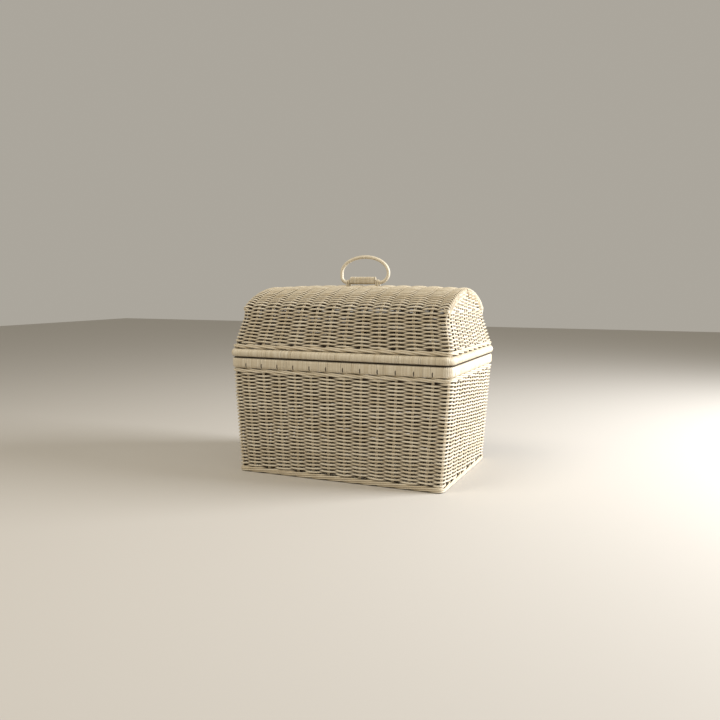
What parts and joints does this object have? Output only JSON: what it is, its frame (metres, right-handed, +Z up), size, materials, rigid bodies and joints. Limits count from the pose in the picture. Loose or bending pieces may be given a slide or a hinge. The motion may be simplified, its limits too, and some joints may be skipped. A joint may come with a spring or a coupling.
{
  "type": "wicker storage trunk",
  "caption": "Rectangular woven wicker trunk with a barrel-topped lid hinged at the back and a swinging hoop handle on the crest.",
  "frame": {"origin": "on the floor under the middle of the trunk", "axes": "+X to the trunk's right end, +Y to its back, +Z up; the front wall faces -Y"},
  "size_m": [0.566, 0.3825, 0.5272],
  "materials": {
    "painted_wicker": "brushed cream paint over split rattan strands",
    "painted_rod": "smooth cream paint over round rattan rods",
    "painted_wrap": "satin cream paint over wound flat cane"
  },
  "bodies": {
    "base": {"floor_weave": "painted_wicker", "floor_sticks": "painted_rod", "foot_border": "painted_wicker", "front_stakes": "painted_rod", "back_stakes": "painted_rod", "left_stakes": "painted_rod", "right_stakes": "painted_rod", "corner_posts": "painted_rod", "base_weave": "painted_wicker", "base_wale": "painted_wicker", "base_rim_core": "painted_rod", "base_rim_wrap": "painted_wrap", "left_hinge_lashing": "painted_wrap", "right_hinge_lashing": "painted_wrap"},
    "lid": {"lid_rim_core": "painted_rod", "lid_rim_wrap": "painted_wrap", "lid_wale": "painted_wicker", "lid_wall_weave": "painted_wicker", "lid_top_weave": "painted_wicker", "left_end_weave": "painted_wicker", "right_end_weave": "painted_wicker", "lid_ribs": "painted_rod", "left_end_stakes": "painted_rod", "right_end_stakes": "painted_rod", "left_arch_rod": "painted_rod", "right_arch_rod": "painted_rod", "left_handle_lashing": "painted_wrap", "right_handle_lashing": "painted_wrap"},
    "handle": {"handle_hoop": "painted_rod", "handle_splice": "painted_rod", "handle_sleeve": "painted_wrap"}
  },
  "joints": [
    {"name": "lid_hinge", "type": "hinge", "parent": "base", "child": "lid", "pos_m": [0, 0.18, 0.2913], "axis": [-1, 0, 0], "range_deg": [0, 110]},
    {"name": "handle_swing", "type": "hinge", "parent": "lid", "child": "handle", "pos_m": [0, 0, 0.4608], "axis": [1, 0, 0], "range_deg": [-98, 98]}
  ]
}
